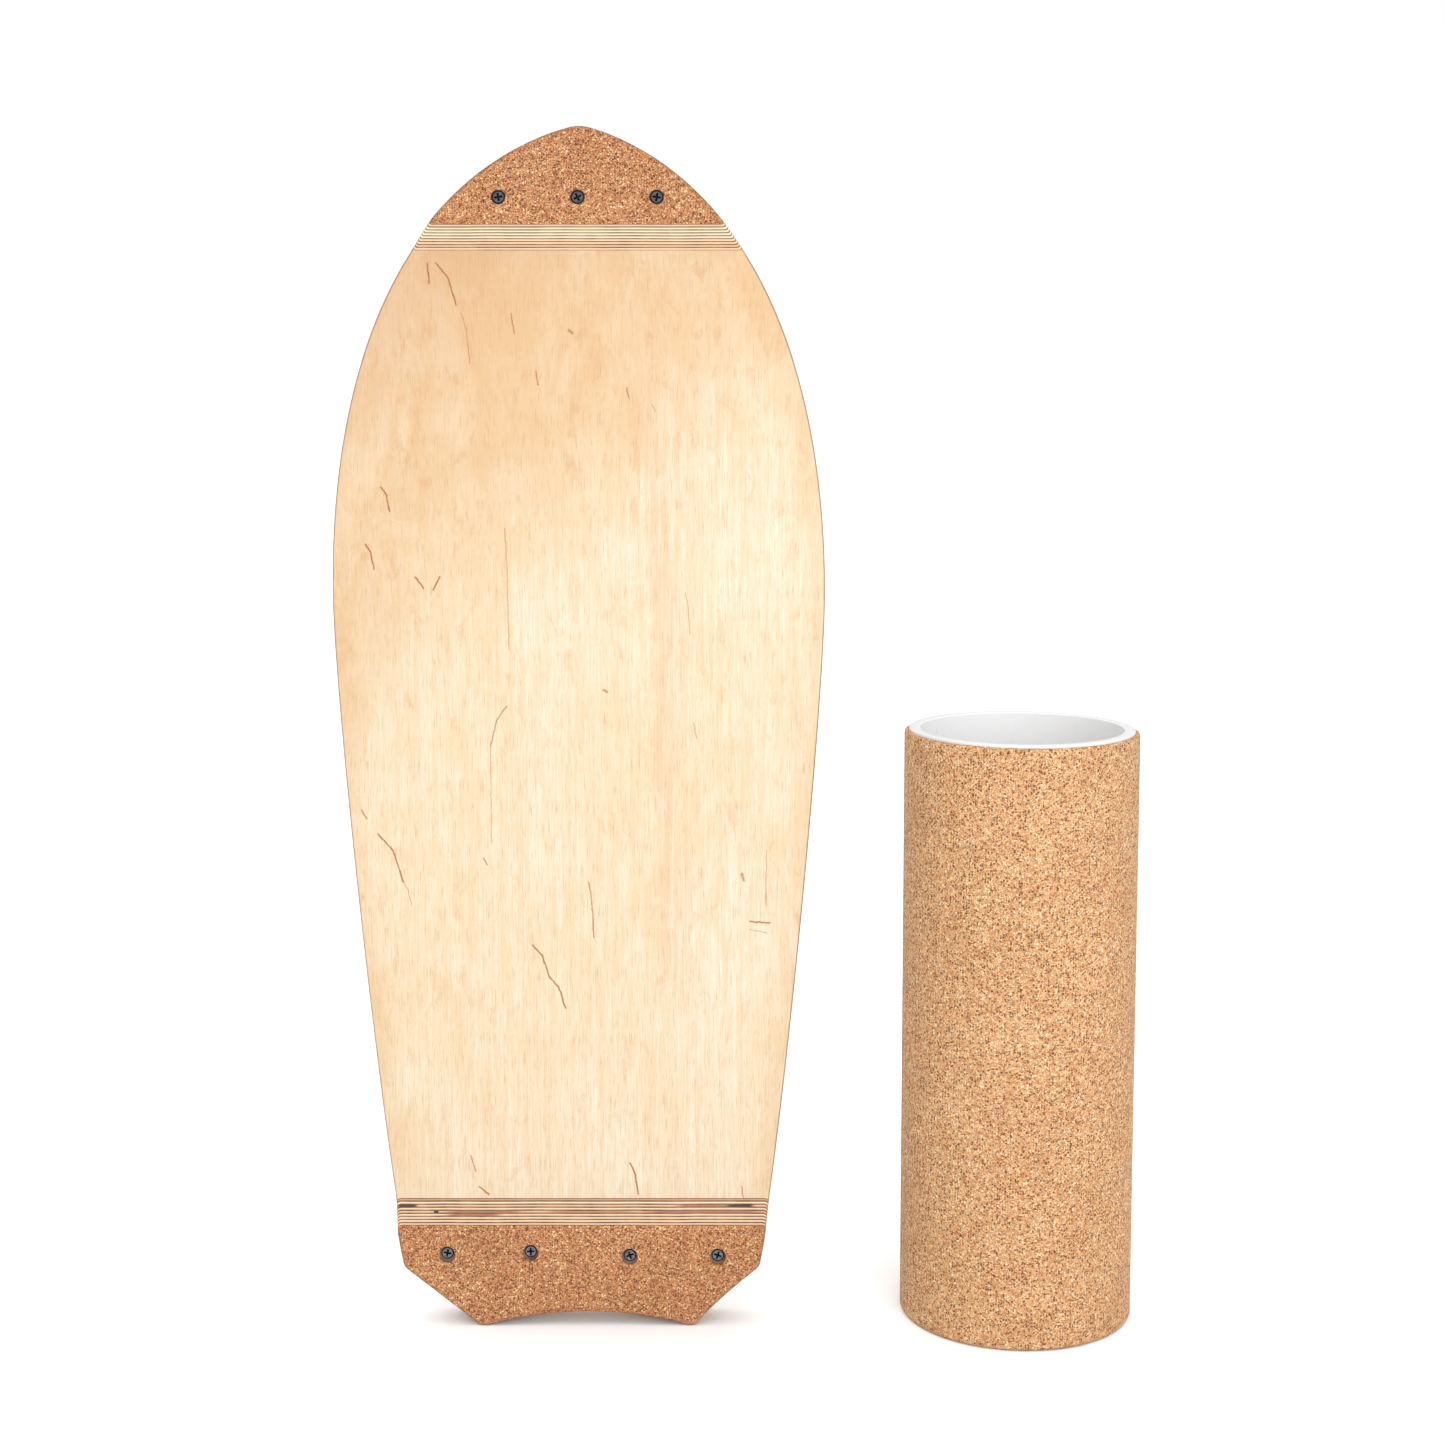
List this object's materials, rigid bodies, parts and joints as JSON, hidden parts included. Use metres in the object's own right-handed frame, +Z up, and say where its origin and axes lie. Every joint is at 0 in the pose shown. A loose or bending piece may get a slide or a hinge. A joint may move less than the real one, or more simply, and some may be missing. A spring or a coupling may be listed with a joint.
{
  "type": "balance board with roller",
  "caption": "Plywood balance deck with bevelled, cork-faced stops screwed under nose and tail, and a separate cork-covered tube roller that it rides on.",
  "frame": {"origin": "On the floor, midway across the set in X and Y: the roller's axis and the deck's upper face both lie near the plane Y = 0.", "axes": "+Z up, along the deck's length from its tail to its nose and along the roller's axis. -Y is the way the deck's underside and its stops face. +X runs from the deck to the roller."},
  "size_m": [0.4982, 0.146, 0.7404],
  "materials": {
    "birch_deck": "clear lacquered birch plywood",
    "ply_block": "sanded birch plywood, edges showing",
    "cork_pad": "fine agglomerated cork, medium brown",
    "black_screw": "black phosphated steel",
    "white_tube": "white extruded plastic pipe",
    "cork_sleeve": "agglomerated cork, light tan"
  },
  "bodies": {
    "deck": {"deck_panel": "birch_deck", "nose_stop_block": "ply_block", "nose_cork_pad": "cork_pad", "tail_stop_block": "ply_block", "tail_cork_pad": "cork_pad", "nose_screw_left": "black_screw", "nose_screw_middle": "black_screw", "nose_screw_right": "black_screw", "tail_screw_outer_left": "black_screw", "tail_screw_inner_left": "black_screw", "tail_screw_inner_right": "black_screw", "tail_screw_outer_right": "black_screw"},
    "roller": {"roller_tube": "white_tube", "roller_cork_sleeve": "cork_sleeve"}
  },
  "joints": [
    {"name": "roller_spin", "type": "hinge", "parent": "deck", "child": "roller", "pos_m": [0.17608, 0, 0.187], "axis": [0, 0, 1], "continuous": true}
  ]
}
